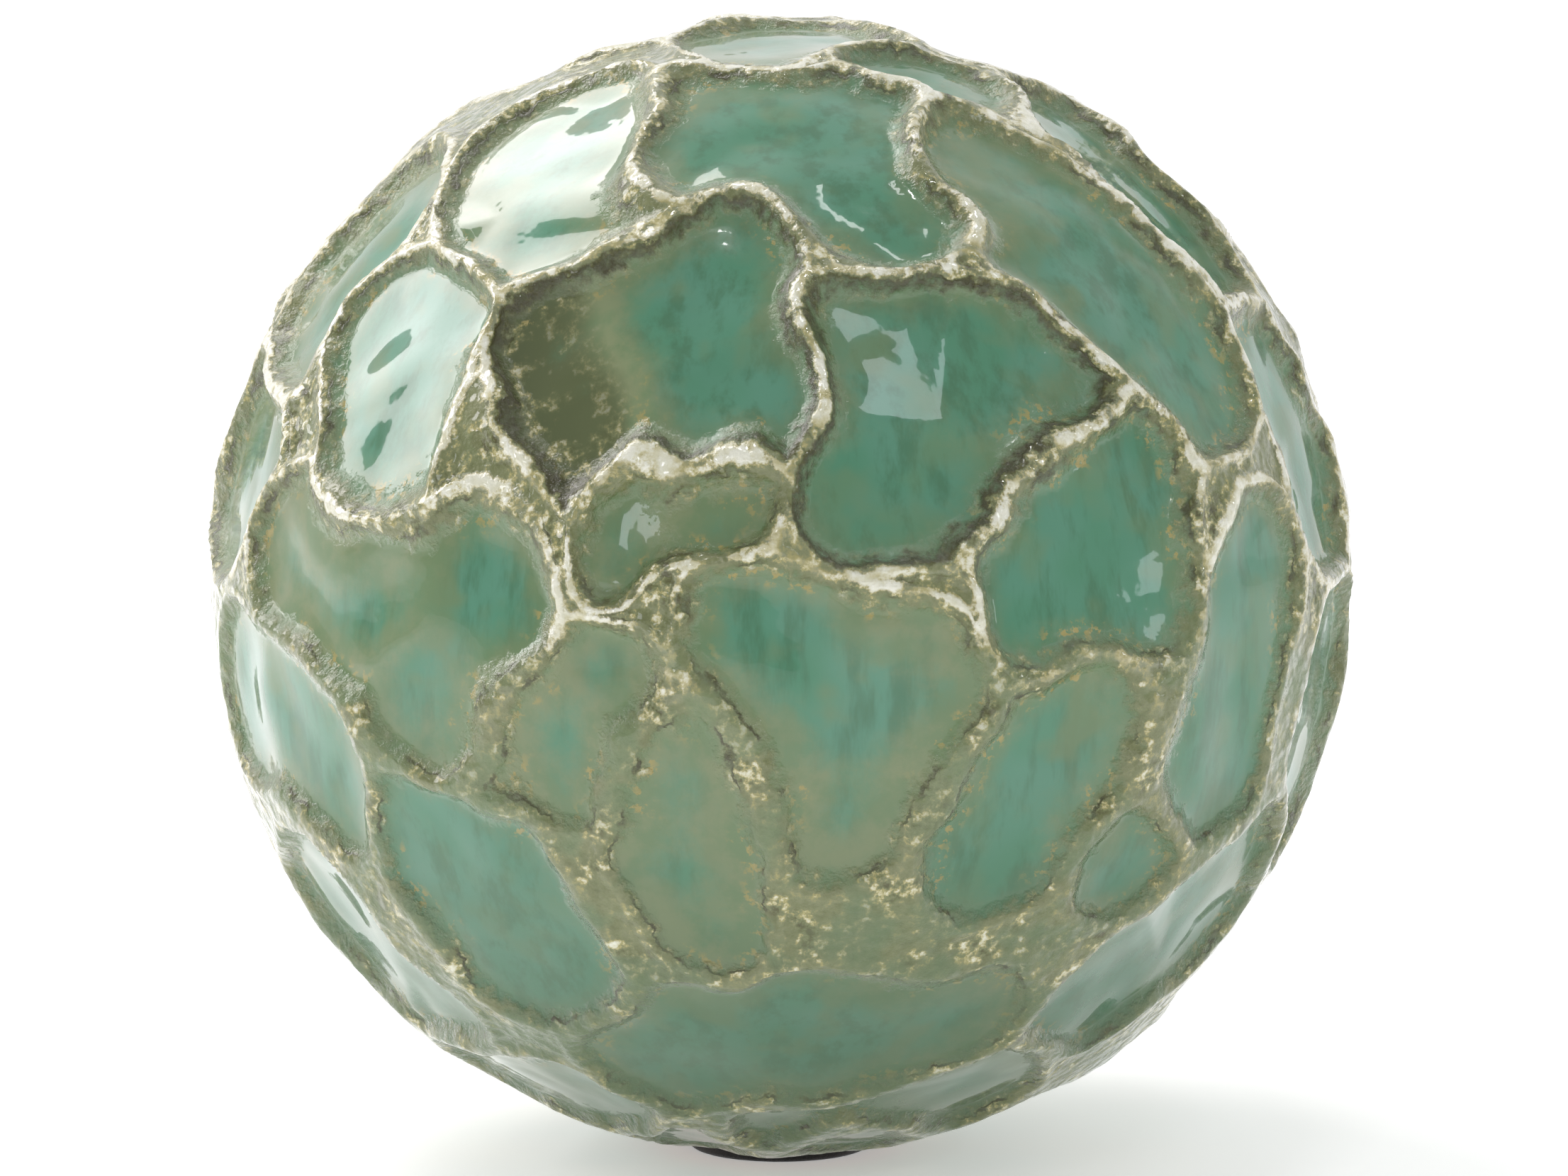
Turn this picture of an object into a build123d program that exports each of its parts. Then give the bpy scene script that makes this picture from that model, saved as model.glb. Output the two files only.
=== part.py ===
from build123d import *
import math
import os
import random

# A hollow stoneware ball for a bowl or a shelf, with hand-scooped dents under a thick
# glaze that pools in them. Two pressed halves are joined with slip round the equator.
# The origin is the centre of the resting face. The front faces -Y and +Z is up.

# Driving dimensions, in millimetres
ball_diameter = 100.0
land_glaze = 0.8          # glaze on the lands between the dents
pooled_glaze = 1.2        # glaze in the dents
cavity_radius = 43.5
seam_thickness = 0.5
seam_bead = 1.2           # slip squeezed out on the inner wall
foot_radius = 9.0         # flat ground on the clay
bare_ring_radius = 11.0   # the glaze stops here
vent_radius = 3.0         # lets the air out in the kiln
film_thickness = 0.2
film_edge = 0.5           # the film stops this far inside the pad's edge
felt_radius = 8.0
felt_thickness = 1.4
felt_chamfer = 0.3
dish_depth = 0.55         # how far a scoop's floor is hollowed below a flat cut

# Each dent is one to five scoops that run together: azimuth, elevation, half-angle,
# in degrees from the ball's centre. Azimuth 0 faces the front and +90 the right side.
front_dents = {
    "top": [(-20, 84, 9), (60, 84, 8)],
    "crown": [(-12, 62, 12), (14, 61, 12), (18, 52, 8)],
    "crown_side": [(48, 71, 7), (64, 66, 6)],
    "shoulder_right": [(78, 58, 10), (75, 46, 10), (75, 38, 8)],
    "brow_right": [(38, 54, 9), (43, 46, 10), (49, 38, 9), (54, 28, 9)],
    "brow": [(-10, 42, 12), (-5, 31, 10), (-27, 34, 9), (-22, 27, 8)],
    "heart": [(13, 34, 10), (26, 31, 9), (33, 30, 6), (10, 22, 9), (17, 20, 8)],
    "cheek_right": [(35, 13, 10), (41, 21, 8), (26, 10, 8), (41, 7, 7)],
    "flank_right": [(51, -9, 9), (54, 0, 9), (59, 8, 7)],
    "chin_right": [(29, -7, 10), (24, -18, 8)],
    "middle": [(1, 3, 10), (9, -3, 11), (9, -14, 8)],
    "drop": [(-11, -9, 7), (-9, -18, 8), (-6, -26, 7)],
    "chin_left": [(-18, 2, 7), (-23, -8, 9)],
    "bridge": [(-5, 17, 5), (-15, 17, 6)],
    "cheek_left": [(-32, 8, 10), (-37, -2, 8), (-48, 6, 11), (-58, 9, 9)],
    "temple_left": [(-52, 34, 10), (-49, 22, 10)],
    "temple_top": [(-47, 58, 11), (-36, 48, 10)],
    "temple_rim": [(-77, 43, 11), (-74, 30, 9)],
    "ear_left": [(-80, 14, 12)],
    "flank_left": [(-60, -10, 10), (-52, -16, 8), (-72, -8, 9)],
    "jaw_left": [(-36, -21, 10), (-30, -32, 10)],
    "jaw_rim": [(-67, -33, 11), (-56, -42, 8)],
    "under_left": [(-60, -58, 9), (-38, -56, 8)],
    "under": [(-14, -44, 11), (7, -43, 12), (22, -40, 9)],
    "pip": [(37, -23, 7), (42, -19, 6)],
    "jaw_right": [(61, -30, 11), (50, -40, 11)],
    "under_right": [(31, -57, 11), (2, -61, 7)],
    "ear_right": [(74, 24, 10), (76, 12, 10)],
    "rim_right": [(77, -6, 10), (76, -18, 10)],
    "rim_low_right": [(86, -38, 12)],
}

# The back follows the same hand, in rows: elevation and number of dents in the half turn
rear_rows = ((68, 3), (46, 5), (22, 6), (-2, 7), (-26, 6), (-49, 5))
rear_seed = 11
azimuth_stray, level_stray = 4, 3     # off the even spacing, either way
scoop_spacing = (8, 12)               # from a rear dent's first scoop to its second
rise_share = 0.7                      # the second one lies more to the side than above
first_scoop_angle, second_scoop_angle = (11.5, 13.5), (9.0, 11.0)
foot_row_elevation, foot_row_count, foot_row_angle = -67, 8, 8

ball_radius = ball_diameter / 2
clay_radius = ball_radius - land_glaze
foot_drop = math.sqrt(clay_radius**2 - foot_radius**2)
foot_height = felt_thickness + film_thickness
centre_height = foot_height + foot_drop
ball_centre = Vector(0, 0, centre_height)
scoop_clearance = 1.0     # how far a cutter stands out of the ball


def rear_dents():
    """Two-scoop dents in staggered rows round the back, and small ones above the foot."""
    draw = random.Random(rear_seed)
    dents = {}
    for row, (elevation, count) in enumerate(rear_rows):
        for i in range(count):
            azimuth = 90 + 180 * (i + 0.5) / count
            azimuth += draw.uniform(-azimuth_stray, azimuth_stray)
            level = elevation + draw.uniform(-level_stray, level_stray)
            bearing = draw.uniform(0, 2 * math.pi)
            reach = draw.uniform(*scoop_spacing)
            beside = azimuth + reach * math.cos(bearing) / math.cos(math.radians(level))
            above = level + rise_share * reach * math.sin(bearing)
            first = (azimuth, level, draw.uniform(*first_scoop_angle))
            second = (beside, above, draw.uniform(*second_scoop_angle))
            dents[f"rear_{row}_{i}"] = [first, second]
    for i in range(foot_row_count):
        azimuth = 360 * (i + 0.5) / foot_row_count
        dents[f"foot_{i}"] = [(azimuth, foot_row_elevation, foot_row_angle)]
    return dents


def direction(azimuth, elevation):
    """Unit vector from the ball's centre."""
    turn, rise = math.radians(azimuth), math.radians(elevation)
    level = math.cos(rise)
    return Vector(math.sin(turn) * level, -math.cos(turn) * level, math.sin(rise))


def scoop(azimuth, elevation, half_angle, surface_radius, below):
    """What one scoop removes: a round-bottomed lens that stands out of the surface."""
    chord = ball_radius * math.sin(math.radians(half_angle))
    floor_radius = (chord**2 + dish_depth**2) / (2 * dish_depth) + below
    floor = ball_radius * math.cos(math.radians(half_angle)) - dish_depth - below
    top = surface_radius + scoop_clearance

    def rim(level):
        return math.sqrt(floor_radius**2 - (floor_radius - level + floor) ** 2)

    middle = (floor + top) / 2
    outward, sideways = direction(azimuth, elevation), direction(azimuth + 90, 0)
    through_axis = Plane(
        origin=ball_centre, x_dir=sideways, z_dir=sideways.cross(outward)
    )
    with BuildPart() as lens:
        with BuildSketch(through_axis):
            with BuildLine():
                ThreePointArc((0, floor), (rim(middle), middle), (rim(top), top))
                Polyline((rim(top), top), (0, top), (0, floor))
            make_face()
        revolve(axis=Axis(ball_centre, outward))
    return lens.part


scoops = [s for dent in {**front_dents, **rear_dents()}.values() for s in dent]
clay_scoops = [scoop(*s, clay_radius, pooled_glaze) for s in scoops]
glaze_scoops = [scoop(*s, ball_radius, 0) for s in scoops]

# The outside of the clay, ground flat under the foot
with BuildPart() as clay_outside:
    with Locations(ball_centre):
        Sphere(clay_radius)
    add(clay_scoops, mode=Mode.SUBTRACT)
    split(bisect_by=Plane.XY.offset(foot_height), keep=Keep.TOP)

# The hollow clay body, before it is parted at the equator
with BuildPart() as clay_body:
    add(clay_outside.part)
    with Locations(ball_centre):
        Sphere(cavity_radius, mode=Mode.SUBTRACT)

with BuildPart() as upper_shell:
    add(clay_body.part)
    split(bisect_by=Plane.XY.offset(centre_height + seam_thickness / 2), keep=Keep.TOP)
upper_shell.part.label = "upper_shell"

# The lower half has the foot, and a vent through it
with BuildPart() as lower_shell:
    add(clay_body.part)
    split(bisect_by=Plane.XY.offset(centre_height - seam_thickness / 2), keep=Keep.BOTTOM)
    with BuildSketch(Plane.XY.offset(foot_height)):
        Circle(vent_radius)
    extrude(amount=ball_radius - cavity_radius, mode=Mode.SUBTRACT)
lower_shell.part.label = "lower_shell"

# Slip fills the joint and stands proud of the inner wall as a bead
with BuildPart() as inner_bead:
    with Locations(ball_centre):
        Torus(cavity_radius, seam_bead)
        Sphere(cavity_radius, mode=Mode.INTERSECT)

with BuildPart() as slip_seam:
    add(clay_body.part)
    split(bisect_by=Plane.XY.offset(centre_height + seam_thickness / 2), keep=Keep.BOTTOM)
    split(bisect_by=Plane.XY.offset(centre_height - seam_thickness / 2), keep=Keep.TOP)
    add(inner_bead.part)
slip_seam.part.label = "slip_seam"

# The glaze is one skin, thicker in the dents, and it stops short of the foot
with BuildPart() as glaze_coat:
    with Locations(ball_centre):
        Sphere(ball_radius)
    add(glaze_scoops, mode=Mode.SUBTRACT)
    add(clay_outside.part, mode=Mode.SUBTRACT)
    with BuildSketch(Plane.XY):
        Circle(bare_ring_radius)
    extrude(amount=foot_height + foot_radius, both=True, mode=Mode.SUBTRACT)
glaze_coat.part.label = "glaze_coat"

# The film of glue is a ring, which leaves the vent clear
with BuildPart() as foot_adhesive:
    with BuildSketch(Plane.XY.offset(felt_thickness)):
        Circle(felt_radius - film_edge)
        Circle(vent_radius, mode=Mode.SUBTRACT)
    extrude(amount=film_thickness)
foot_adhesive.part.label = "foot_adhesive"

with BuildPart() as felt_pad:
    with BuildSketch(Plane.XY):
        Circle(felt_radius)
    extrude(amount=felt_thickness)
    chamfer(felt_pad.edges().group_by(Axis.Z)[0], felt_chamfer)
felt_pad.part.label = "felt_pad"

os.makedirs("parts", exist_ok=True)
export_step(upper_shell.part, "parts/upper_shell.step")
export_step(lower_shell.part, "parts/lower_shell.step")
export_step(slip_seam.part, "parts/slip_seam.step")
export_step(glaze_coat.part, "parts/glaze_coat.step")
export_step(foot_adhesive.part, "parts/foot_adhesive.step")
export_step(felt_pad.part, "parts/felt_pad.step")
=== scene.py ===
import math
import random
from types import SimpleNamespace

import bpy
import numpy as np
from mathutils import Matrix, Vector, noise
from mathutils.bvhtree import BVHTree


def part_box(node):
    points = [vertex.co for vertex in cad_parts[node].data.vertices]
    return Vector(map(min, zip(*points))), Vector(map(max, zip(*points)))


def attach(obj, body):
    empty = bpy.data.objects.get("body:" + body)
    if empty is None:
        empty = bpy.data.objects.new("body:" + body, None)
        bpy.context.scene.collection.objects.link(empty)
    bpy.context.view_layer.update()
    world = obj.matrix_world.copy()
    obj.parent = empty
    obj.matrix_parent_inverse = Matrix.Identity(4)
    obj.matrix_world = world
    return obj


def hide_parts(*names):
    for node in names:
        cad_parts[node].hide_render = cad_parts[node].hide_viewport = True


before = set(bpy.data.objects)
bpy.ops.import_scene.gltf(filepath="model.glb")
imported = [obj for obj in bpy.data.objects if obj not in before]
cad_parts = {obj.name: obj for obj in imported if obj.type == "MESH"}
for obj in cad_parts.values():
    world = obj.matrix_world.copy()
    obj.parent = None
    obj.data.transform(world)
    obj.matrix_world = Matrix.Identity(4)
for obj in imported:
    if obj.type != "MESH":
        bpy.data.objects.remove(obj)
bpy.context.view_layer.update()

# Sizes in metres, angles in degrees
MM = 0.001
BALL_RADIUS = 0.050
FELT_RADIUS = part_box("felt_pad")[1].x
FELT_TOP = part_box("felt_pad")[1].z
SEAM_LOW, SEAM_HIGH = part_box("slip_seam")
BALL_CENTRE = Vector((0, 0, (SEAM_LOW.z + SEAM_HIGH.z) / 2))
BARE_RING_RADIUS = 11.0 * MM
FOOT_ANGLE = math.degrees(math.asin(BARE_RING_RADIUS / BALL_RADIUS))

# The dents: how deep each is against the usual one, then its scoops, which run together.
# A scoop is azimuth, elevation, half-angle, and how teal its glaze is: 0 olive, 1 teal, below zero
# a dark moss that is partly painted shadow.
# Azimuth 0 faces the front, -Y, and +90 the right side, +X.
DENTS = {
    "top": (0.7, [(-20, 84, 9, 0.4), (60, 84, 8, 0.6)]),
    "crown": (1.0, [(-12, 62, 12, 0.8), (14, 61, 12, 1.0), (18, 52, 8, 0.9)]),
    "crown_side": (1.0, [(48, 71, 7, 0.9), (64, 66, 6, 0.8)]),
    "shoulder_right": (1.4, [(78, 58, 10, 0.8), (75, 46, 10, 0.8), (75, 38, 8, 0.8)]),
    "brow_right": (
        1.0, [(38, 54, 9, 0.6), (43, 46, 10, 0.5), (49, 38, 9, 0.9), (54, 28, 9, 0.9)]
    ),
    "brow": (
        1.5,
        # The two left scoops' tone below zero paints them dark moss: partly the glaze, partly
        # painted shadow in the deep dent
        [(-10, 42, 12, 0.8), (-5, 31, 10, 1.0), (-27, 34, 9, -0.4), (-22, 27, 8, -0.5)],
    ),
    "heart": (
        1.6,
        [
            (13, 34, 10, 0.8), (26, 31, 9, 0.9), (33, 30, 6, 0.9),
            (10, 22, 9, 1.0), (17, 20, 8, 1.0),
        ],
    ),
    "cheek_right": (
        1.1, [(35, 13, 10, 1.0), (41, 21, 8, 1.0), (26, 10, 8, 0.9), (41, 7, 7, 0.9)]
    ),
    "flank_right": (0.9, [(51, -9, 9, 1.0), (54, 0, 9, 1.0), (59, 8, 7, 0.8)]),
    "chin_right": (1.0, [(29, -7, 10, 0.7), (24, -18, 8, 1.0)]),
    "middle": (0.7, [(1, 3, 10, 0.7), (9, -3, 11, 0.3), (9, -14, 8, 0.2)]),
    "drop": (0.7, [(-11, -9, 7, 0.5), (-9, -18, 8, 0.2), (-6, -26, 7, 0.1)]),
    "chin_left": (0.6, [(-18, 2, 7, 0.4), (-23, -8, 9, 0.4)]),
    "bridge": (1.2, [(-5, 17, 5, 0.4), (-15, 17, 6, 0.5)]),
    "cheek_left": (
        0.8,
        [(-32, 8, 10, 0.7), (-37, -2, 8, 0.6), (-48, 6, 11, 0.1), (-58, 9, 9, 0.1)],
    ),
    "temple_left": (1.0, [(-52, 34, 10, 0.8), (-49, 22, 10, 0.8)]),
    "temple_top": (1.0, [(-47, 58, 11, 0.5), (-36, 48, 10, 0.5)]),
    "temple_rim": (1.4, [(-77, 43, 11, 0.5), (-74, 30, 9, 0.5)]),
    "ear_left": (1.2, [(-80, 14, 12, 0.4)]),
    "flank_left": (1.0, [(-60, -10, 10, 0.8), (-52, -16, 8, 0.7), (-72, -8, 9, 0.7)]),
    "jaw_left": (0.9, [(-36, -21, 10, 1.0), (-30, -32, 10, 1.0)]),
    "jaw_rim": (1.3, [(-67, -33, 11, 0.7), (-56, -42, 8, 0.7)]),
    "under_left": (0.9, [(-60, -58, 9, 0.6), (-38, -56, 8, 0.7)]),
    "under": (0.8, [(-14, -44, 11, 0.7), (7, -43, 12, 0.6), (22, -40, 9, 0.3)]),
    "pip": (0.8, [(37, -23, 7, 0.8), (42, -19, 6, 0.8)]),
    "jaw_right": (1.4, [(61, -30, 11, 0.8), (50, -40, 11, 0.9)]),
    "under_right": (1.0, [(31, -57, 11, 0.4), (2, -61, 7, 0.3)]),
    "ear_right": (1.3, [(74, 24, 10, 0.9), (76, 12, 10, 0.9)]),
    "rim_right": (1.4, [(77, -6, 10, 0.8), (76, -18, 10, 0.8)]),
    "rim_low_right": (1.4, [(86, -38, 12, 0.8)]),
}

# The back follows the same hand, in rows: elevation and number of dents in the half turn
REAR_ROWS = ((68, 3), (46, 5), (22, 6), (-2, 7), (-26, 6), (-49, 5))
REAR_SEED = 11
AZIMUTH_STRAY, LEVEL_STRAY = 4, 3     # off the even spacing, either way
SCOOP_SPACING = (8, 12)               # from a rear dent's first scoop to its second
RISE_SHARE = 0.7                      # the second one lies more to the side than above
FIRST_SCOOP_ANGLE, SECOND_SCOOP_ANGLE = (11.5, 13.5), (9.0, 11.0)
TONE_SEED = 5
FIRST_SCOOP_TONE, SECOND_SCOOP_TONE = (0.4, 1.0), (0.2, 1.0)
REAR_DEPTH = (0.7, 1.3)
FOOT_ROW_ELEVATION, FOOT_ROW_COUNT, FOOT_ROW_ANGLE = -67, 8, 8
FOOT_ROW_DEPTH, FOOT_ROW_TONE = 0.6, 0.6

# Shape of the glazed surface, in metres unless it says otherwise
WALL_DEPTH = 0.80 * MM
WALL_WIDTH = 1.25 * MM
FLOOR_DEPTH = 1.3 * MM
FLOOR_REACH = 6.5 * MM
BEAD_HEIGHT = 0.42 * MM
BEAD_PLACE = -0.50 * MM
BEAD_WIDTH = 0.75 * MM
RIDGE_HALF_WIDTH = 0.65 * MM
LAND_WAVE = 0.25 * MM
GRAIN_HEIGHT = 0.09 * MM
GRAIN_PITCH = 34          # grains to a ball's radius, more or less
SCOOP_BLEND = 1.5 * MM
LEAST_GLAZE = 0.15 * MM
FLOOR_WAVE = 0.08 * MM
FOOT_RIM_DROP = 0.5 * MM  # the glaze thins towards the bare ring
EDGE_WANDER = 1.1         # degrees
FINE_WANDER = 0.28        # of that, in short waves as well
OUTER_CELLS, INNER_CELLS = 124, 24


# ---------------------------------------------------------------- dents

def unit(azimuth, elevation):
    """Unit vector from the ball's centre."""
    turn, rise = math.radians(azimuth), math.radians(elevation)
    level = math.cos(rise)
    return (math.sin(turn) * level, -math.cos(turn) * level, math.sin(rise))


def rear_dents():
    """Two-scoop dents in staggered rows round the back, and small ones above the foot."""
    draw = random.Random(REAR_SEED)
    shade = random.Random(TONE_SEED)
    dents = {}
    for row, (elevation, count) in enumerate(REAR_ROWS):
        for i in range(count):
            azimuth = 90 + 180 * (i + 0.5) / count
            azimuth += draw.uniform(-AZIMUTH_STRAY, AZIMUTH_STRAY)
            level = elevation + draw.uniform(-LEVEL_STRAY, LEVEL_STRAY)
            bearing = draw.uniform(0, 2 * math.pi)
            reach = draw.uniform(*SCOOP_SPACING)
            beside = azimuth + reach * math.cos(bearing) / math.cos(math.radians(level))
            above = level + RISE_SHARE * reach * math.sin(bearing)
            angle, tone = draw.uniform(*FIRST_SCOOP_ANGLE), shade.uniform(*FIRST_SCOOP_TONE)
            first = (azimuth, level, angle, tone)
            angle, tone = draw.uniform(*SECOND_SCOOP_ANGLE), shade.uniform(*SECOND_SCOOP_TONE)
            second = (beside, above, angle, tone)
            dents[f"rear_{row}_{i}"] = (shade.uniform(*REAR_DEPTH), [first, second])
    for i in range(FOOT_ROW_COUNT):
        azimuth = 360 * (i + 0.5) / FOOT_ROW_COUNT
        scoop = (azimuth, FOOT_ROW_ELEVATION, FOOT_ROW_ANGLE, FOOT_ROW_TONE)
        dents[f"foot_{i}"] = (FOOT_ROW_DEPTH, [scoop])
    return dents


def smooth(values, low, high):
    """0 below low, 1 above high, and an even S between."""
    t = np.clip((values - low) / (high - low), 0, 1)
    return t * t * (3 - 2 * t)


def waves(points, frequency, count, seed):
    """Smooth noise from -1 to 1 or so: a sum of sine waves in all directions."""
    draw = np.random.default_rng(seed)
    heading = draw.normal(size=(count, 3))
    heading /= np.linalg.norm(heading, axis=1)[:, None]
    pitch = frequency * draw.uniform(0.6, 1.5, size=count)
    phase = draw.uniform(0, 2 * np.pi, size=count)
    total = np.zeros(len(points))
    for h, f, p in zip(heading, pitch, phase):
        total += np.sin(points @ h * f + p)
    return total * math.sqrt(2 / count)


def wander(directions):
    """The directions pushed about sideways, so that no outline is a clean arc."""
    slow = np.stack([waves(directions, frequency=14, count=14, seed=s) for s in (1, 2, 3)], axis=1)
    fast = np.stack([waves(directions, frequency=42, count=14, seed=s) for s in (4, 5, 6)], axis=1)
    amount = math.radians(EDGE_WANDER)
    moved = directions + amount * slow + FINE_WANDER * amount * fast
    return moved / np.linalg.norm(moved, axis=1)[:, None]


def dent_fields(directions):
    """For each direction: metres inside the nearest dent's edge, its tone and its depth."""
    dents = list({**DENTS, **rear_dents()}.values())
    moved = wander(directions)
    inside = np.full((len(dents), len(moved)), -1.0)
    tones = np.zeros_like(inside)
    for k, (_, scoops) in enumerate(dents):
        middles = np.array([unit(*s[:2]) for s in scoops])
        reach = np.radians([s[2] for s in scoops])
        away = np.arccos(np.clip(moved @ middles.T, -1, 1))
        depth_in = (reach - away) * BALL_RADIUS
        most = depth_in.max(axis=1)
        share = np.exp((depth_in - most[:, None]) / SCOOP_BLEND)
        inside[k] = most + SCOOP_BLEND * np.log(share.sum(axis=1))
        wide = np.exp((depth_in - most[:, None]) / (2 * SCOOP_BLEND))
        tones[k] = wide @ np.array([s[3] for s in scoops]) / wide.sum(axis=1)
    order = np.argsort(-inside, axis=0)
    columns = np.arange(len(moved))
    first, second = inside[order[0], columns], inside[order[1], columns]
    between = (first - second) / 2
    edge = np.minimum(first, between - RIDGE_HALF_WIDTH)
    depths = np.array([d[0] for d in dents])[order[0]]
    return edge, tones[order[0], columns], depths


def glaze_depth(directions, edge, depths):
    """How far the glaze lies below the ball's nominal radius, in metres."""
    wall = WALL_DEPTH * depths * smooth(edge, -0.1 * MM, WALL_WIDTH)
    inward = np.maximum(edge, 0)
    floor = FLOOR_DEPTH * (1 - np.exp(-inward / FLOOR_REACH)) * (0.5 + 0.5 * depths)
    ripple = waves(directions, frequency=26, count=16, seed=12)
    floor += FLOOR_WAVE * ripple * smooth(edge, 0.5 * MM, 3 * MM)
    bead = BEAD_HEIGHT * np.exp(-(((edge - BEAD_PLACE) / BEAD_WIDTH) ** 2))
    bead *= 0.80 + 0.35 * waves(directions, frequency=40, count=16, seed=13)
    bead *= 0.35 + 0.80 * smooth(directions[:, 2], -0.12, 0.25)     # lower beads are flatter
    swell = waves(directions, frequency=16, count=16, seed=14)
    land = LAND_WAVE * swell * smooth(-edge, -1 * MM, 1.5 * MM)
    grain = np.array([noise.noise(Vector(d) * GRAIN_PITCH) for d in directions])
    grain *= GRAIN_HEIGHT * smooth(-edge, -1.0 * MM, 0.2 * MM)
    return wall + floor - bead + land - grain


# ---------------------------------------------------------------- meshes

def cube_sphere(cells):
    """Even quads on a sphere: a cube's faces in equal angles. Directions and quads."""
    steps = np.arange(cells + 1)
    u, v = [a.ravel() for a in np.meshgrid(steps, steps, indexing="ij")]
    corner = (steps[:-1, None] * (cells + 1) + steps[None, :-1]).ravel()
    square = np.stack([corner, corner + cells + 1, corner + cells + 2, corner + 1], axis=1)
    lattice, quads = [], []
    for axis in range(3):
        for side in (0, cells):
            face = np.zeros((len(u), 3), int)
            face[:, axis] = side
            face[:, (axis + 1) % 3] = u
            face[:, (axis + 2) % 3] = v
            quads.append((square if side else square[:, ::-1]) + len(u) * len(lattice))
            lattice.append(face)
    unique, index = np.unique(np.concatenate(lattice), axis=0, return_inverse=True)
    points = np.tan((2 * unique / cells - 1) * math.pi / 4)
    points /= np.linalg.norm(points, axis=1)[:, None]
    return points, index.ravel()[np.concatenate(quads)]


def open_at_foot(points, quads, angle):
    """Leaves out the quads within angle of straight down and makes that edge a circle.
    Also gives the edge's vertices in order round it."""
    tilt = np.degrees(np.arccos(np.clip(-points[:, 2], -1, 1)))
    dropped = (tilt[quads] < angle).any(axis=1)
    kept = quads[~dropped]
    ring = np.intersect1d(kept, quads[dropped])
    turn = np.arctan2(points[ring, 1], points[ring, 0])
    points = points.copy()
    points[ring, 0] = np.cos(turn) * math.sin(math.radians(angle))
    points[ring, 1] = np.sin(turn) * math.sin(math.radians(angle))
    points[ring, 2] = -math.cos(math.radians(angle))
    used = np.unique(kept)
    number = np.full(len(points), -1)
    number[used] = np.arange(len(used))
    return points[used], number[kept], number[ring[np.argsort(turn)]]


def zip_rings(outer, outer_points, inner, inner_points):
    """Triangles that close the gap between two rings, both in order by angle."""
    def turns(ring, points):
        return np.arctan2(points[ring, 1], points[ring, 0])

    a, b = turns(outer, outer_points), turns(inner, inner_points)
    faces, i, j = [], 0, 0
    while i < len(outer) or j < len(inner):
        next_a = a[i + 1] if i + 1 < len(outer) else a[0] + 2 * math.pi
        next_b = b[j + 1] if j + 1 < len(inner) else b[0] + 2 * math.pi
        here = (outer[i % len(outer)], inner[j % len(inner)])
        if j >= len(inner) or (i < len(outer) and next_a <= next_b):
            i += 1
            faces.append((here[0], here[1], outer[i % len(outer)]))
        else:
            j += 1
            faces.append((here[0], here[1], inner[j % len(inner)]))
    return faces


def node_tree(*names):
    """The CAD nodes' surfaces, for casting rays at."""
    vertices, polygons = [], []
    for name in names:
        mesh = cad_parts[name].data
        start = len(vertices)
        vertices += [v.co.copy() for v in mesh.vertices]
        polygons += [[start + i for i in p.vertices] for p in mesh.polygons]
    return BVHTree.FromPolygons(vertices, polygons)


def clay_radii(tree, points):
    """How far out the clay reaches in each direction from the ball's centre."""
    far = 2 * BALL_RADIUS
    radii = np.empty(len(points))
    for i, point in enumerate(points):
        heading = Vector(point)
        hit = tree.ray_cast(BALL_CENTRE + heading * far, -heading)[0]
        radii[i] = (hit - BALL_CENTRE).length if hit else 0
    return radii


def new_object(name, vertices, faces):
    """A smooth-shaded mesh object, linked into the scene."""
    mesh = bpy.data.meshes.new(name)
    mesh.from_pydata([tuple(v) for v in vertices], [], [tuple(map(int, f)) for f in faces])
    mesh.validate()
    mesh.shade_smooth()
    piece = bpy.data.objects.new(name, mesh)
    bpy.context.scene.collection.objects.link(piece)
    return piece


def glaze_skin():
    """The glaze as one closed skin: the dented face, the clay's face and a rim between."""
    clay = node_tree("upper_shell", "lower_shell", "slip_seam")
    out_points, out_quads = cube_sphere(OUTER_CELLS)
    out_points, out_quads, out_ring = open_at_foot(out_points, out_quads, FOOT_ANGLE)
    in_points, in_quads = cube_sphere(INNER_CELLS)
    in_points, in_quads, in_ring = open_at_foot(in_points, in_quads, FOOT_ANGLE)
    edge, tone, depths = dent_fields(out_points)
    above_foot = FOOT_ANGLE - np.degrees(np.arccos(np.clip(-out_points[:, 2], -1, 1)))
    depth = glaze_depth(out_points, edge, depths)
    depth += FOOT_RIM_DROP * smooth(above_foot, -4, 0)
    radius = np.maximum(BALL_RADIUS - depth, clay_radii(clay, out_points) + LEAST_GLAZE)
    inner_radius = clay_radii(clay, in_points)
    centre = np.array(BALL_CENTRE)
    vertices = np.concatenate(
        [centre + out_points * radius[:, None], centre + in_points * inner_radius[:, None]]
    )
    start = len(out_points)
    rim = zip_rings(out_ring, vertices, in_ring + start, vertices)
    faces = [*out_quads, *(in_quads[:, ::-1] + start), *rim]
    piece = new_object("glaze_skin", vertices, faces)
    pad = np.zeros(len(in_points))
    for name, values in (("edge", edge / MM), ("tone", tone), ("deep", depths)):
        layer = piece.data.attributes.new(name, "FLOAT", "POINT")
        layer.data.foreach_set("value", np.concatenate([values, pad]))
    return piece


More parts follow.
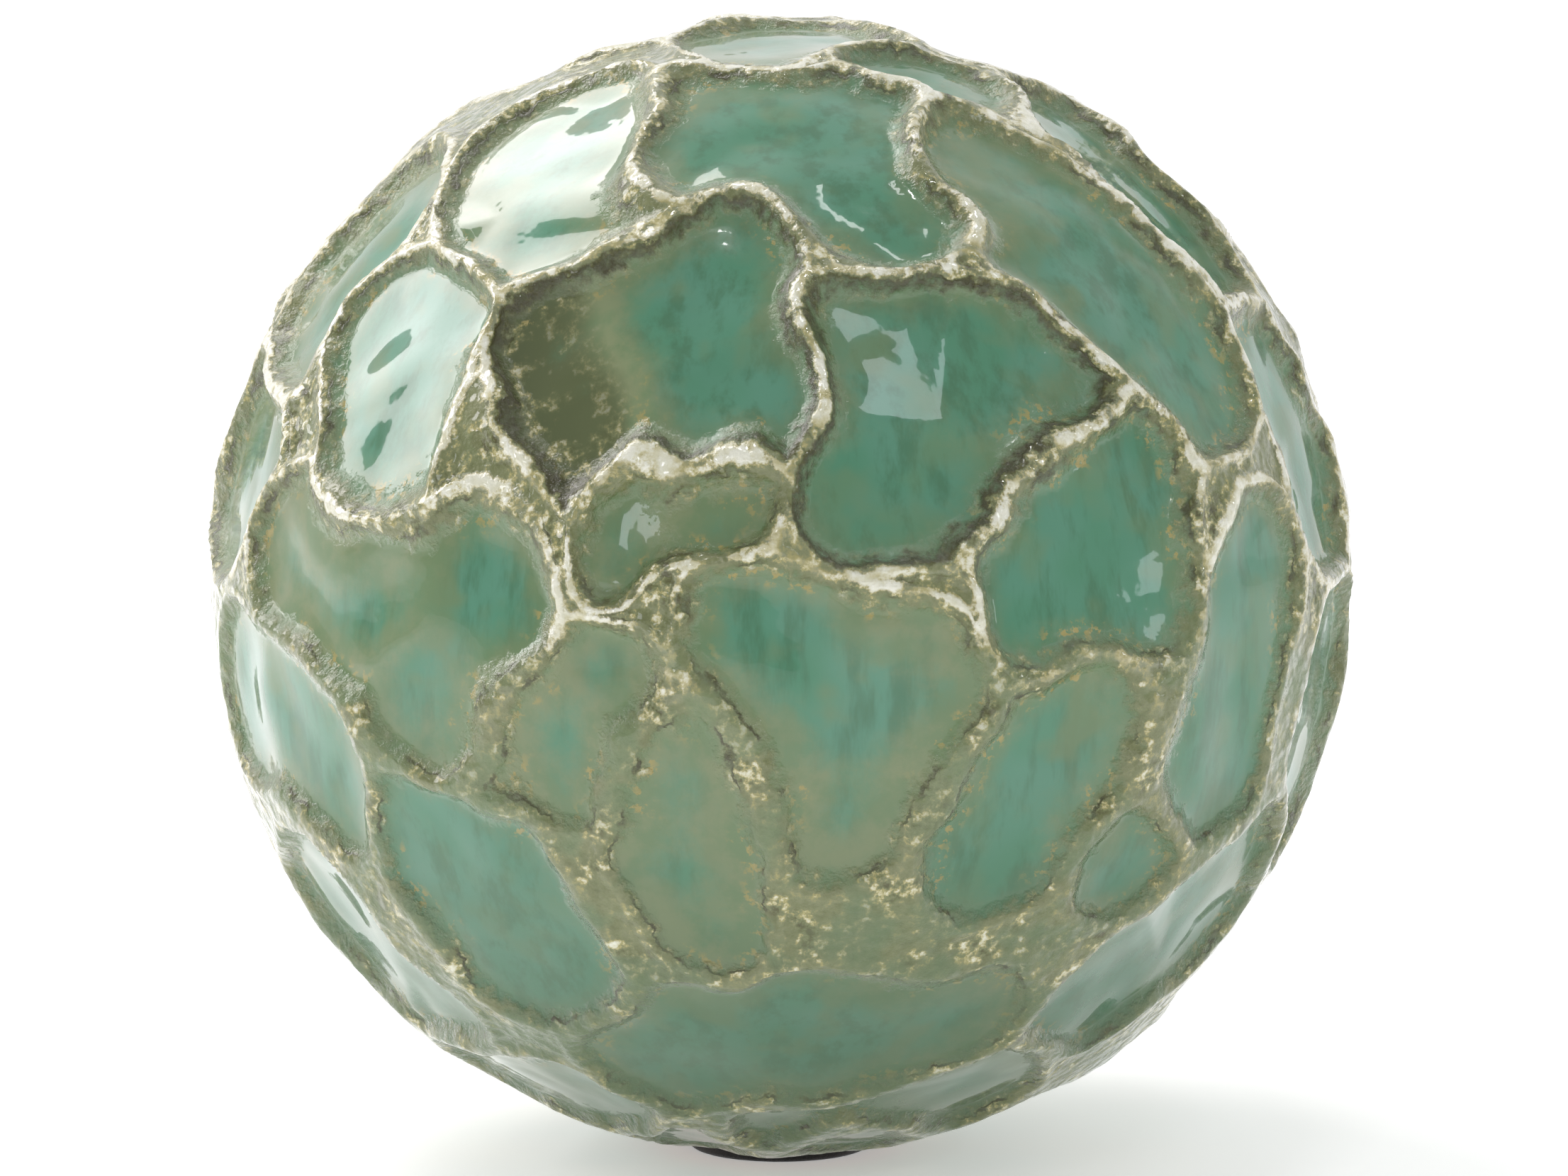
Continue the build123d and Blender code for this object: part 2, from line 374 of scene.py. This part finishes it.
def felt_disc():
    """A pressed felt disc with a soft, slightly fuzzy edge."""
    rings, spokes, corner_steps, side_steps = 14, 96, 6, 4
    corner, fuzz_height, fuzz_size = 0.35 * MM, 0.06 * MM, 0.5 * MM
    profile = [(FELT_RADIUS * k / rings, 0.0) for k in range(rings)]
    for k in range(corner_steps + 1):
        turn = math.pi / 2 * k / corner_steps
        out = FELT_RADIUS - corner + corner * math.sin(turn)
        profile.append((out, corner - corner * math.cos(turn)))
    for k in range(1, side_steps + 1):
        profile.append((FELT_RADIUS, corner + (FELT_TOP - corner) * k / side_steps))
    profile += [(FELT_RADIUS * k / rings, FELT_TOP) for k in range(rings - 1, -1, -1)]
    vertices, faces = [], []
    for radius, height in profile[1:-1]:
        for s in range(spokes):
            turn = 2 * math.pi * s / spokes
            point = Vector((radius * math.cos(turn), radius * math.sin(turn), height))
            fuzz = fuzz_height * noise.noise(point / fuzz_size)
            if height in (0.0, FELT_TOP):
                point.z = abs(height - abs(fuzz) * 0.3)
            else:
                point.x *= 1 + fuzz / FELT_RADIUS
                point.y *= 1 + fuzz / FELT_RADIUS
            vertices.append(point)
    for r in range(len(profile) - 3):
        for s in range(spokes):
            a, b = r * spokes + s, r * spokes + (s + 1) % spokes
            faces.append((a, a + spokes, b + spokes, b))
    bottom, top = len(vertices), len(vertices) + 1
    vertices += [Vector((0, 0, 0)), Vector((0, 0, FELT_TOP))]
    last = (len(profile) - 3) * spokes
    for s in range(spokes):
        faces.append((bottom, s, (s + 1) % spokes))
        faces.append((top, last + (s + 1) % spokes, last + s))
    return new_object("felt_disc", vertices, faces)


# ---------------------------------------------------------------- materials

# Where a ridge's crest and the dark line at its foot lie, in millimetres inside the edge
CREST_PLACE, FOOT_LINE_PLACE = -0.60, 0.50

# The pooled glaze's colours, and a dark green that paints shade over the lower part of the ball
TEAL, SEA_GREEN, DEEP_TEAL = (0.073, 0.246, 0.142), (0.092, 0.268, 0.175), (0.056, 0.170, 0.088)
# The moss is partly the glaze's own colour and partly painted shadow
OLIVE, TAN, MOSS_AND_PAINTED_SHADOW = (0.150, 0.228, 0.106), (0.208, 0.254, 0.126), (0.086, 0.108, 0.038)
GOLD, UNDERSIDE_PAINTED_SHADE = (0.400, 0.320, 0.100), (0.055, 0.115, 0.055)

# The ridge glaze's colours, from where it is darkest to where it is palest; the darkest also serve
# as painted shade at the foot of the walls
RIDGE_GLAZE = [
    (0.05, (0.040, 0.035, 0.004)),
    (0.25, (0.085, 0.080, 0.018)),
    (0.38, (0.150, 0.165, 0.060)),
    (0.52, (0.225, 0.240, 0.112)),
    (0.62, (0.420, 0.370, 0.140)),
    (0.70, (0.620, 0.570, 0.330)),
    (0.82, (0.780, 0.760, 0.580)),
    (1.00, (0.900, 0.890, 0.760)),
]


class Paint:
    """Short calls for building one material's nodes."""

    def __init__(self, name):
        self.material = bpy.data.materials.new(name)
        self.material.use_nodes = True
        self.tree = self.material.node_tree
        self.shader = self.tree.nodes["Principled BSDF"]
        self.place = self.add("ShaderNodeTexCoord").outputs["Object"]

    def add(self, kind, **settings):
        node = self.tree.nodes.new(kind)
        for key, value in settings.items():
            setattr(node, key, value)
        return node

    def put(self, value, socket):
        """A link where value is another node's output, or else a plain value."""
        if isinstance(value, bpy.types.NodeSocket):
            self.tree.links.new(value, socket)
        elif hasattr(value, "__len__") and len(value) == 3 and socket.type == "RGBA":
            socket.default_value = (*value, 1)
        else:
            socket.default_value = value

    def math(self, operation, a, b=0.0):
        node = self.add("ShaderNodeMath", operation=operation)
        self.put(a, node.inputs[0])
        self.put(b, node.inputs[1])
        return node.outputs[0]

    def ramp(self, value, low, high, out_low=0.0, out_high=1.0):
        """A smooth step of value from low to high."""
        node = self.add("ShaderNodeMapRange", interpolation_type="SMOOTHSTEP")
        for socket, v in zip(node.inputs, (value, low, high, out_low, out_high)):
            self.put(v, socket)
        return node.outputs[0]

    def mix(self, amount, a, b):
        node = self.add("ShaderNodeMix", data_type="RGBA")
        self.put(amount, node.inputs[0])
        self.put(a, node.inputs[6])
        self.put(b, node.inputs[7])
        return node.outputs[2]

    def noise(self, size, detail=3.0, roughness=0.55, stretch=None):
        """Soft noise whose blobs are about size metres across."""
        node = self.add("ShaderNodeTexNoise")
        node.inputs["Scale"].default_value = 1 / size
        node.inputs["Detail"].default_value = detail
        node.inputs["Roughness"].default_value = roughness
        place = self.place
        if stretch:
            mapping = self.add("ShaderNodeMapping")
            mapping.inputs["Scale"].default_value = stretch
            self.put(place, mapping.inputs[0])
            place = mapping.outputs[0]
        self.put(place, node.inputs["Vector"])
        return node.outputs["Fac"]

    def flecks(self, size):
        """Small cells: a random grey for each, and how far off its middle is."""
        node = self.add("ShaderNodeTexVoronoi")
        node.inputs["Scale"].default_value = 1 / size
        self.put(self.place, node.inputs["Vector"])
        grey = self.add("ShaderNodeSeparateColor")
        self.put(node.outputs["Color"], grey.inputs[0])
        return grey.outputs[0], node.outputs["Distance"]

    def blend(self, value, stops):
        """A colour for value from stops, each a position and a colour."""
        node = self.add("ShaderNodeValToRGB")
        elements = node.color_ramp.elements
        while len(elements) < len(stops):
            elements.new(0.5)
        for element, (place, colour) in zip(elements, stops):
            element.position, element.color = place, (*colour, 1)
        self.put(value, node.inputs[0])
        return node.outputs[0]

    def attribute(self, name):
        return self.add("ShaderNodeAttribute", attribute_name=name).outputs["Fac"]

    def band(self, value, middle, width):
        """1 at middle, falling to 0 at width either side."""
        off = self.math("ABSOLUTE", self.math("SUBTRACT", value, middle))
        return self.ramp(off, width, 0.0)

    def bump(self, height, strength, distance, *layers):
        """Relief for the shader's Normal, or for the layers named."""
        node = self.add("ShaderNodeBump")
        node.inputs["Strength"].default_value = strength
        node.inputs["Distance"].default_value = distance
        self.put(height, node.inputs["Height"])
        for layer in layers or ("Normal",):
            self.put(node.outputs[0], self.shader.inputs[layer])

    def set(self, **values):
        for name, value in values.items():
            self.put(value, self.shader.inputs[name.replace("_", " ")])


def glaze_fields(p):
    """What the glaze varies with: attributes, noises, and distances to a dent's edge.
    Distances are in millimetres, positive inside the dent."""
    height = p.add("ShaderNodeSeparateXYZ")
    p.put(p.place, height.inputs[0])
    ragged = p.math("SUBTRACT", p.noise(1.5 * MM, 5.0, 0.60), 0.5)
    edge = p.attribute("edge")
    return SimpleNamespace(
        edge=edge,
        loose=p.math("ADD", edge, p.math("MULTIPLY", ragged, 3.2)),
        tight=p.math("ADD", edge, p.math("MULTIPLY", ragged, 1.7)),
        tone=p.attribute("tone"),
        deep=p.attribute("deep"),
        slow=p.noise(11 * MM, 2.0),
        patch=p.noise(6 * MM, 2.0),
        medium=p.noise(4.0 * MM, 5.0, 0.60),
        grain=p.noise(1.0 * MM, 4.0, 0.62),
        streak=p.noise(2.4 * MM, 4.0, 0.6, stretch=(1.0, 1.0, 0.22)),
        height=height.outputs[2],
        # Higher up, the crests are paler and the ridge glaze and its dark threads show more:
        # partly the glaze running thin there, partly painted light from above
        upper=p.ramp(height.outputs[2], BALL_CENTRE.z - 6 * MM, BALL_CENTRE.z + 10 * MM),
    )


def pooled_colour(p, f):
    """Teal pools that fade into olive and tan towards the lands, and into moss where the
    tone is below zero; there the moss is partly the glaze's colour and partly painted shadow."""
    land = p.mix(p.ramp(f.medium, 0.38, 0.62), OLIVE, TAN)
    land = p.mix(p.ramp(f.tone, 0.1, -0.4), land, MOSS_AND_PAINTED_SHADOW)
    pool = p.mix(p.ramp(f.slow, 0.38, 0.62), TEAL, SEA_GREEN)
    pool = p.mix(p.ramp(f.streak, 0.44, 0.66, 0.0, 0.8), pool, DEEP_TEAL)
    cloudy = p.ramp(f.tone, 0.7, 1.0, 0.80, 0.40)
    pool = p.mix(p.ramp(f.patch, 0.48, 0.68, 0.0, cloudy), pool, OLIVE)
    start = p.math("SUBTRACT", 5.0, p.math("MULTIPLY", f.tone, 4.6))
    return p.mix(p.ramp(p.math("SUBTRACT", f.loose, start), -1.8, 3.2), land, pool)


def ridge_lines(p, f):
    """The pale crest of a ridge, the dark line at the foot of a wall, and fine threads
    beside it, each from 0 to 1. The dark line is partly the glaze's own brown and partly
    painted shade in the crease."""
    half_width = p.ramp(f.slow, 0.40, 0.60, 0.42, 0.88)
    aside = p.math("ABSOLUTE", p.math("SUBTRACT", f.tight, CREST_PLACE))
    crest = p.ramp(p.math("DIVIDE", aside, half_width), 1.0, 0.3)
    crest = p.math("MULTIPLY", crest, p.ramp(f.patch, 0.62, 0.40, 0.25, 1.0))
    # Paler crests high up: partly painted highlight
    crest = p.math("MULTIPLY", crest, p.ramp(f.upper, 0.0, 1.0, 0.12, 1.0))

    # Partly painted shade: the dark line at a wall's foot, widest and most often shown in the
    # deepest dents
    widest = p.ramp(f.deep, 1.4, 1.5, 0.20, 0.62)
    reach = p.math("MULTIPLY", widest, p.ramp(f.patch, 0.40, 0.60, 0.7, 1.5))
    away = p.math("ABSOLUTE", p.math("SUBTRACT", f.tight, FOOT_LINE_PLACE))
    shown = p.ramp(f.medium, 0.48, 0.58, p.ramp(f.deep, 1.4, 1.5, 0.05, 0.75), 1.0)
    wall = p.math("MULTIPLY", p.ramp(p.math("DIVIDE", away, reach), 1.0, 0.30), shown)

    ripple = p.ramp(p.math("SINE", p.math("MULTIPLY", f.tight, 5.0)), 0.60, 1.0)
    broken = p.math("MULTIPLY", p.ramp(f.medium, 0.46, 0.54), f.upper)
    thread = p.math("MULTIPLY", ripple, broken)
    thread = p.math("MULTIPLY", thread, p.ramp(f.edge, 2.6, 1.2))
    return crest, wall, thread


def ridge_colour(p, f, crest, wall, thread):
    """The speckled glaze of the ridges."""
    busy = p.math("ADD", f.medium, p.math("MULTIPLY", f.upper, 0.06))
    busy = p.ramp(busy, 0.46, 0.62, 0.5, 2.2)
    speck = p.math("MULTIPLY", p.math("SUBTRACT", f.grain, 0.5), busy)
    blend = p.math("ADD", p.math("ADD", speck, 0.47), p.math("MULTIPLY", crest, 0.42))
    blend = p.math("SUBTRACT", blend, p.math("MULTIPLY", wall, 0.50))
    blend = p.math("SUBTRACT", blend, p.math("MULTIPLY", thread, 0.18))
    return p.blend(blend, RIDGE_GLAZE)


def ridge_share(p, f, wall):
    """How much of the ridge glaze shows: on the ridges, less on wide lands and low down,
    the latter partly painted light from above, and in spots over the mossy floors."""
    near = p.math("MULTIPLY", p.ramp(f.loose, 1.2, 0.1), p.ramp(f.edge, -5.0, -1.5, 0.55, 1.0))
    calm = p.ramp(f.patch, 0.42, 0.58, 0.90, 0.30)
    strength = p.math("MAXIMUM", p.ramp(f.upper, 0.0, 1.0, calm, 0.92), wall)
    near = p.math("MULTIPLY", near, strength)
    spilt = p.math("MULTIPLY", p.ramp(f.tone, 0.1, -0.4), p.ramp(f.medium, 0.46, 0.60, 0.0, 0.7))
    spilt = p.math("MULTIPLY", spilt, p.ramp(f.edge, 3.6, 1.2, 0.30, 1.0))
    return p.math("MAXIMUM", near, spilt)


def glaze_relief(p, f, crest, thread):
    """Grit under the clear coat, and a softer swell of the coat itself."""
    rough = p.math("MULTIPLY", f.grain, p.ramp(f.loose, 1.6, 0.0, 0.05, 1.1))
    p.bump(p.math("ADD", rough, p.math("MULTIPLY", crest, 0.5)), 0.9, 0.40 * MM)
    swell = p.math("MULTIPLY", p.noise(1.6 * MM, 1.0), p.ramp(f.loose, 1.6, 0.0, 0.03, 1.0))
    raised = p.math("MULTIPLY", crest, p.ramp(f.upper, 0.0, 1.0, 0.2, 0.5))
    glass = p.math("SUBTRACT", p.math("ADD", swell, raised), p.math("MULTIPLY", thread, 0.2))
    p.bump(glass, 0.9, 0.60 * MM, "Coat Normal")


def glaze_material():
    """Teal glaze pooled in the dents, and a speckled ridge glaze where it thins: cream on
    the crests, brown at the foot of the walls, gold between. The brown at the walls' feet
    is partly painted shade, the crests' extra paleness high up is partly painted light,
    and the glaze low down is darkened as painted shade."""
    p = Paint("pooled_reactive_glaze")
    f = glaze_fields(p)
    crest, wall, thread = ridge_lines(p, f)
    gold = p.math("MULTIPLY", p.band(f.tight, 1.5, 1.2), p.ramp(f.grain, 0.53, 0.60, 0.0, 0.85))
    gold = p.math("MULTIPLY", gold, p.ramp(p.noise(7 * MM, 1.0), 0.50, 0.60))
    colour = p.mix(gold, pooled_colour(p, f), GOLD)
    # Painted shade: the glaze colour is darkened towards the bottom of the ball, more the lower it
    # lies
    low = p.ramp(f.height, BALL_CENTRE.z, BALL_CENTRE.z - 42 * MM, 0.0, 0.62)
    colour = p.mix(low, colour, UNDERSIDE_PAINTED_SHADE)
    ridge = ridge_colour(p, f, crest, wall, thread)
    p.set(Base_Color=p.mix(ridge_share(p, f, wall), colour, ridge))
    p.set(Roughness=p.ramp(f.tight, -1.0, 1.0, 0.32, 0.20), IOR=1.45, Specular_IOR_Level=0.2)
    p.set(Coat_Weight=1.0, Coat_Roughness=0.04, Coat_IOR=p.ramp(crest, 0.0, 0.6, 1.52, 2.1))
    glaze_relief(p, f, crest, thread)
    return p.material


def clay_material(name, light, dark):
    """Bare fired clay: a warm mottle with dark iron specks and a gritty face."""
    p = Paint(name)
    mottle, grit = p.noise(5 * MM, 4.0), p.noise(0.35 * MM, 4.0, 0.7)
    grey, cell = p.flecks(0.9 * MM)
    speck = p.math("MULTIPLY", p.ramp(grey, 0.86, 0.92), p.ramp(cell, 0.4, 0.2))
    colour = p.mix(p.ramp(mottle, 0.35, 0.65), light, dark)
    colour = p.mix(speck, colour, (0.05, 0.03, 0.02))
    p.set(Base_Color=colour, Roughness=p.ramp(grit, 0.3, 0.7, 0.72, 0.9))
    p.bump(grit, 0.5, 0.12 * MM)
    return p.material


def glue_material():
    """A dried film of clear glue, slightly cloudy and uneven."""
    p = Paint("dried_glue")
    cloud = p.noise(1.5 * MM, 3.0)
    p.set(Base_Color=p.mix(cloud, (0.50, 0.45, 0.32), (0.68, 0.64, 0.52)))
    p.set(Roughness=p.ramp(cloud, 0.3, 0.7, 0.35, 0.6))
    p.bump(cloud, 0.3, 0.05 * MM)
    return p.material


def felt_material():
    """Short black felt: matted fibres with paler lint."""
    p = Paint("black_felt")
    matted = p.noise(0.25 * MM, 6.0, 0.75)
    fibre = p.noise(0.6 * MM, 4.0, 0.7, stretch=(1.0, 3.5, 1.0))
    colour = p.mix(p.ramp(matted, 0.35, 0.7), (0.006, 0.006, 0.007), (0.030, 0.030, 0.032))
    colour = p.mix(p.ramp(fibre, 0.62, 0.75, 0.0, 0.4), colour, (0.10, 0.10, 0.10))
    p.set(Base_Color=colour, Roughness=p.ramp(matted, 0.3, 0.7, 0.88, 0.98))
    p.set(Sheen_Weight=0.4, Sheen_Roughness=0.5)
    p.bump(matted, 0.8, 0.15 * MM)
    return p.material


def floor_material():
    """A matt white sweep of card."""
    p = Paint("white_card")
    tooth = p.noise(2 * MM, 3.0)
    p.set(Base_Color=p.mix(tooth, (0.90, 0.90, 0.90), (0.93, 0.93, 0.93)), Roughness=0.9)
    p.set(Emission_Color=(1.0, 1.0, 1.0), Emission_Strength=0.35)
    return p.material


def paint(piece, material):
    piece.data.materials.clear()
    piece.data.materials.append(material)


# ---------------------------------------------------------------- studio

VIEW_ELEVATION = 10
LENS = 400
SENSOR_WIDTH = 36
BALL_SHARE = 0.725        # the ball's width as a share of the picture's
SHIFT_RIGHT = 0.0025

# Softboxes: azimuth, elevation, distance, width, height, power in watts, colour
SOFTBOXES = {
    "key_left": (-108, 26, 0.62, 0.28, 0.28, 1.25, (1.00, 0.96, 0.98)),
    "key_top": (-134, 52, 0.62, 0.34, 0.28, 1.45, (1.00, 0.95, 0.95)),
    "front_card": (40, 57, 0.80, 0.16, 0.18, 0.30, (0.86, 0.93, 1.00)),
    "front_left_card": (-36, 16, 0.80, 0.15, 0.15, 0.25, (0.90, 0.93, 1.00)),
    "front_right_card": (78, 4, 0.80, 0.09, 0.06, 0.05, (0.86, 0.93, 1.00)),
    "strip_top": (126, 75, 0.80, 0.12, 0.02, 0.05, (1.00, 1.00, 1.00)),
    "spark_top": (20, 80, 0.80, 0.14, 0.04, 0.55, (1.00, 1.00, 1.00)),
    "spark_right": (64, 28, 0.80, 0.05, 0.05, 0.25, (1.00, 1.00, 1.00)),
}

# The world's strength, from in front of the ball to behind it, against world Y
FRONT_STRENGTH, BACK_STRENGTH = 0.52, 1.0
FRONT_END, BACK_START = 0.0, 0.85


def add_camera():
    """At the front and a little above, so far off that the ball fills its share."""
    data = bpy.data.cameras.new("camera")
    data.lens, data.sensor_width = LENS, SENSOR_WIDTH
    half_tangent = BALL_SHARE * SENSOR_WIDTH / 2 / LENS
    distance = BALL_RADIUS / math.sin(math.atan(half_tangent))
    data.shift_x = SHIFT_RIGHT
    camera = bpy.data.objects.new("camera", data)
    back = Vector(unit(0, VIEW_ELEVATION))
    camera.location = BALL_CENTRE + back * distance
    camera.rotation_mode = "QUATERNION"
    camera.rotation_quaternion = (-back).to_track_quat("-Z", "Y")
    bpy.context.scene.collection.objects.link(camera)
    bpy.context.scene.camera = camera


def add_softbox(name, azimuth, elevation, distance, width, height, power, colour):
    """A rectangular light that faces the ball and isn't seen itself."""
    data = bpy.data.lights.new(name, "AREA")
    data.shape, data.size, data.size_y = "RECTANGLE", width, height
    data.energy, data.color = power, colour
    light = bpy.data.objects.new(name, data)
    away = Vector(unit(azimuth, elevation))
    light.location = BALL_CENTRE + away * distance
    light.rotation_mode = "QUATERNION"
    light.rotation_quaternion = away.to_track_quat("Z", "Y")
    light.visible_camera = False
    bpy.context.scene.collection.objects.link(light)


def add_world():
    """White all round, but dimmer in front, where a real studio is dark."""
    world = bpy.data.worlds.new("white_room")
    bpy.context.scene.world = world
    world.use_nodes = True
    nodes, links = world.node_tree.nodes, world.node_tree.links
    background = nodes["Background"]
    place = nodes.new("ShaderNodeTexCoord")
    split = nodes.new("ShaderNodeSeparateXYZ")
    links.new(place.outputs["Generated"], split.inputs[0])
    toward = nodes.new("ShaderNodeMapRange")
    toward.interpolation_type = "SMOOTHSTEP"
    limits = (FRONT_END, BACK_START, FRONT_STRENGTH, BACK_STRENGTH)
    for socket, value in zip(toward.inputs[1:5], limits):
        socket.default_value = value
    links.new(split.outputs["Y"], toward.inputs[0])
    seen = nodes.new("ShaderNodeLightPath")
    strength = nodes.new("ShaderNodeMath")
    strength.operation = "MAXIMUM"
    links.new(seen.outputs["Is Camera Ray"], strength.inputs[0])
    links.new(toward.outputs[0], strength.inputs[1])
    links.new(strength.outputs[0], background.inputs["Strength"])
    background.inputs["Color"].default_value = (1.0, 1.0, 1.0, 1)


def add_floor():
    """A large pale floor, in even cells."""
    half, cells = 3.0, 24
    vertices = [
        (half * (2 * i / cells - 1), half * (2 * j / cells - 1), 0.0)
        for i in range(cells + 1) for j in range(cells + 1)
    ]
    row = cells + 1
    faces = [
        (i * row + j, (i + 1) * row + j, (i + 1) * row + j + 1, i * row + j + 1)
        for i in range(cells) for j in range(cells)
    ]
    floor = new_object("floor", vertices, faces)
    paint(floor, floor_material())


# ---------------------------------------------------------------- the scene

glaze = glaze_skin()
paint(glaze, glaze_material())
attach(glaze, "root")
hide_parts("glaze_coat")

felt = felt_disc()
paint(felt, felt_material())
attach(felt, "root")
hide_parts("felt_pad")

stoneware = clay_material("bare_stoneware", (0.36, 0.22, 0.12), (0.26, 0.15, 0.08))
paint(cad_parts["upper_shell"], stoneware)
paint(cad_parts["lower_shell"], stoneware)
slip = clay_material("fired_slip", (0.42, 0.28, 0.17), (0.33, 0.21, 0.12))
paint(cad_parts["slip_seam"], slip)
paint(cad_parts["foot_adhesive"], glue_material())

add_camera()
add_world()
for name, settings in SOFTBOXES.items():
    add_softbox(name, *settings)
add_floor()
bpy.context.scene.view_settings.view_transform = "Standard"
